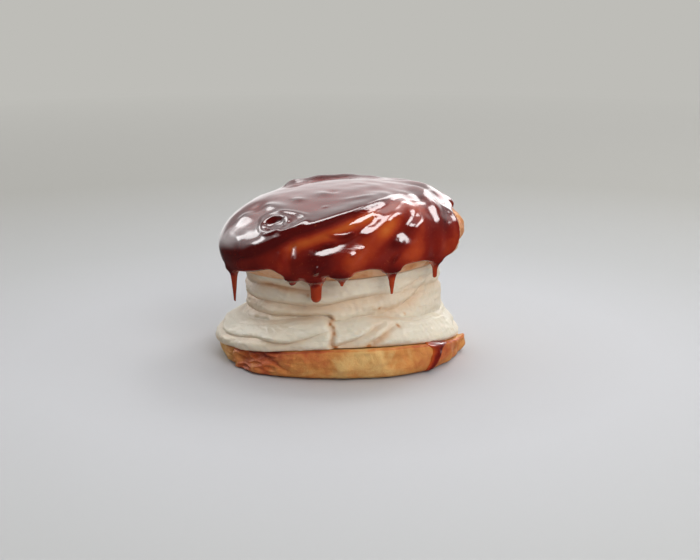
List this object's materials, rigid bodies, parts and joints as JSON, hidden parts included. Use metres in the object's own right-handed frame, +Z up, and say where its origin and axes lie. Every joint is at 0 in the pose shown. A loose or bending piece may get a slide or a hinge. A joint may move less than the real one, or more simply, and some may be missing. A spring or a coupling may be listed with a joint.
{
  "type": "cream puff",
  "caption": "Sliced choux cream puff: crusty base, piped cream in a wide and a narrower tier, and a swirled lid under dripping caramel glaze.",
  "frame": {"origin": "middle of the base's flat underside, on the surface the puff rests on", "axes": "+Z up, -Y towards the viewer of the picture (the front, with the seam of the lower cream tier), +X to the viewer's right"},
  "size_m": [0.0801, 0.0801, 0.0543],
  "materials": {
    "base_choux": "matt baked choux pastry, golden with brown mottling",
    "cream_swirl": "soft satin whipped cream",
    "lid_choux": "matt baked choux pastry, golden",
    "caramel_glaze": "wet, very glossy, see-through dark amber caramel"
  },
  "bodies": {
    "root": {"base_choux": "base_choux", "cream_swirl": "cream_swirl", "lid_choux": "lid_choux", "caramel_glaze": "caramel_glaze"}
  },
  "joints": []
}
